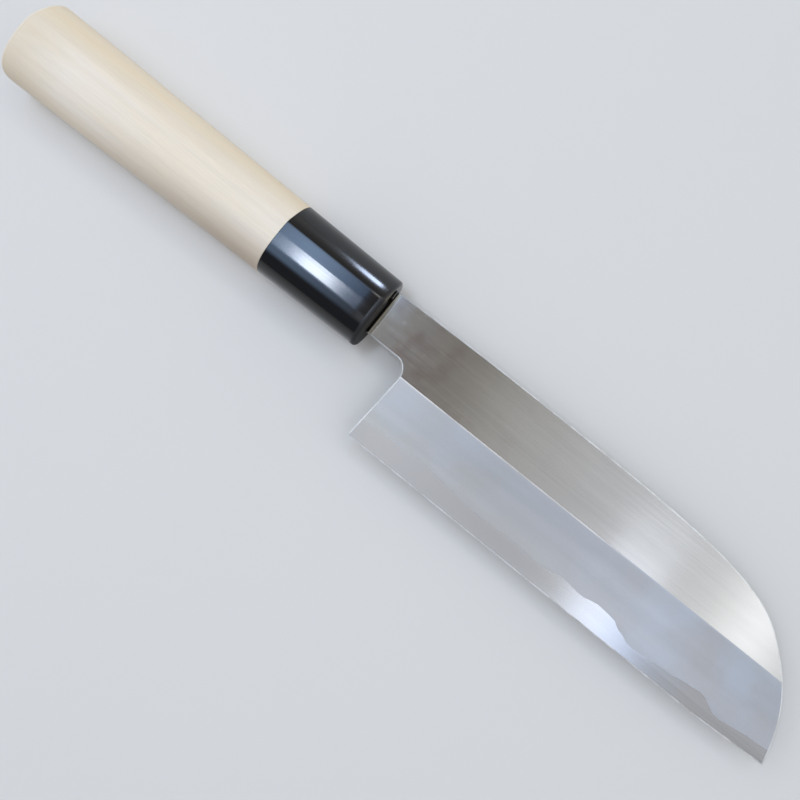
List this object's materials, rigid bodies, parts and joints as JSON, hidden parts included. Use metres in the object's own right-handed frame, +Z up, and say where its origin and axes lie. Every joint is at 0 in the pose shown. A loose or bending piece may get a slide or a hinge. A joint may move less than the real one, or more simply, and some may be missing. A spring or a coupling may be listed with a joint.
{
  "type": "mentori knife",
  "caption": "Short single-bevel vegetable knife with a straight edge, a curved-down nose and a D-section wooden handle with a black horn ferrule.",
  "frame": {"origin": "middle of the box round the knife, at the height of the lowest line of the handle's back", "axes": "+X along the handle towards the tip, +Y towards the spine, +Z up out of the bevelled side; the flat back of the blade is level"},
  "size_m": [0.271, 0.0428, 0.0214],
  "materials": {
    "soft_iron": "fine lengthwise grain on the upper flat, misty stone finish on the bevel",
    "hard_steel": "bright polish, with fine grinding marks in the hollow of the back",
    "black_horn": "polished black horn",
    "pale_wood": "sanded bare magnolia wood with a fine lengthwise grain"
  },
  "bodies": {
    "root": {"soft_iron_body": "soft_iron", "hard_steel_layer": "hard_steel", "horn_ferrule": "black_horn", "wooden_grip": "pale_wood"}
  },
  "joints": []
}
